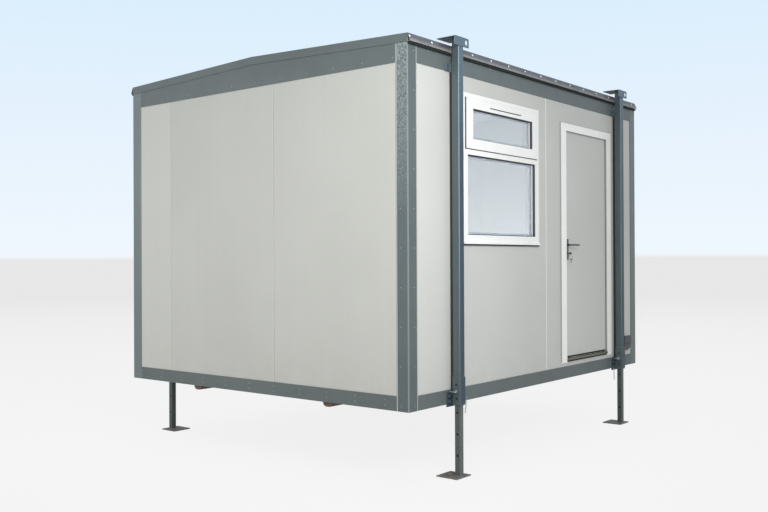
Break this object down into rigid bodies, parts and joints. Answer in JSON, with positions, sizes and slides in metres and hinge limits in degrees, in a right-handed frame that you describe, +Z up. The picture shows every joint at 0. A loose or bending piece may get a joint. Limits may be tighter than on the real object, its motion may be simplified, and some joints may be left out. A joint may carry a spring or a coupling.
{
  "type": "portable site cabin",
  "caption": "Portable site cabin: steel base, sandwich panel walls, shallow gable roof, window, inward door and telescopic jack legs with lifting eyes.",
  "frame": {"origin": "on the ground under the centre of the plan", "axes": "+X to the right along the front, +Y from the front (door and window) to the back, +Z up"},
  "size_m": [3.6, 3.152, 3.064],
  "materials": {
    "steelwork": "satin grey-green paint on folded sheet steel",
    "eaves_metal": "satin purplish grey coated sheet",
    "wall_panel": "light warm grey coating with a faint stucco emboss",
    "roof_panel": "light grey coated sheet over foam",
    "deck_board": "plywood with a worn clear coat",
    "runner_paint": "flat brown primer",
    "white_profile": "semi-gloss white profile",
    "glass": "clear sealed unit",
    "aluminium": "brushed mill finish",
    "door_skin": "satin light grey paint",
    "handle_metal": "satin anodised",
    "lock_metal": "satin nickel-plated brass",
    "hinge_metal": "zinc-plated steel",
    "inlet_plastic": "dark grey moulded plastic",
    "packer_rubber": "near-black packing strip",
    "zinc_steel": "zinc-plated steel",
    "jack_paint": "satin blue-grey paint, scuffed at the edges",
    "leg_paint": "satin blue-grey paint, worn by sliding"
  },
  "bodies": {
    "cabin": {"base_rails_long": "steelwork", "base_rails_end": "steelwork", "base_trims": "steelwork", "floor_joists": "steelwork", "floor_deck": "deck_board", "runners": "runner_paint", "corner_posts": "steelwork", "header_trims": "steelwork", "gable_fascia_left": "steelwork", "gable_fascia_right": "steelwork", "eaves_flashing_front": "eaves_metal", "eaves_flashing_back": "eaves_metal", "ridge_flashing": "steelwork", "front_wall_left": "wall_panel", "front_wall_window": "wall_panel", "front_wall_door_side": "wall_panel", "front_wall_door_head": "wall_panel", "front_wall_door_sill": "wall_panel", "front_wall_right": "wall_panel", "left_wall": "wall_panel", "right_wall": "wall_panel", "back_wall": "wall_panel", "roof_front": "roof_panel", "roof_back": "roof_panel", "window_frame": "white_profile", "window_sash": "white_profile", "window_glass": "glass", "door_frame": "white_profile", "door_threshold": "aluminium", "hinges_frame_side": "hinge_metal", "power_inlet": "inlet_plastic", "jack_packers": "packer_rubber", "jack_pins": "zinc_steel", "jack_mast_front_left": "jack_paint", "jack_mast_front_right": "jack_paint", "jack_mast_back_left": "jack_paint", "jack_mast_back_right": "jack_paint"},
    "door": {"door_leaf": "door_skin", "door_handle_plates": "handle_metal", "door_lock_cylinder": "lock_metal", "hinges_leaf_side": "hinge_metal"},
    "lever": {"door_levers": "handle_metal"},
    "leg_front_left": {"jack_leg_front_left": "leg_paint"},
    "leg_front_right": {"jack_leg_front_right": "leg_paint"},
    "leg_back_left": {"jack_leg_back_left": "leg_paint"},
    "leg_back_right": {"jack_leg_back_right": "leg_paint"}
  },
  "joints": [
    {"name": "door_hinge", "type": "hinge", "parent": "cabin", "child": "door", "pos_m": [1.189, -1.4225, 1.6], "axis": [0, 0, -1], "range_deg": [0, 90]},
    {"name": "lever_turn", "type": "hinge", "parent": "door", "child": "lever", "pos_m": [0.437, -1.4925, 1.635], "axis": [0, 1, 0], "range_deg": [0, 45], "stiffness_Nm_per_rad": 1.5, "springref_deg": -20.05},
    {"name": "leg_slide_front_left", "type": "slide", "parent": "cabin", "child": "leg_front_left", "axis": [0, 0, -1], "range_m": [0, 1.2]},
    {"name": "leg_slide_front_right", "type": "slide", "parent": "cabin", "child": "leg_front_right", "axis": [0, 0, -1], "range_m": [0, 1.2]},
    {"name": "leg_slide_back_left", "type": "slide", "parent": "cabin", "child": "leg_back_left", "axis": [0, 0, -1], "range_m": [0, 1.2]},
    {"name": "leg_slide_back_right", "type": "slide", "parent": "cabin", "child": "leg_back_right", "axis": [0, 0, -1], "range_m": [0, 1.2]}
  ]
}
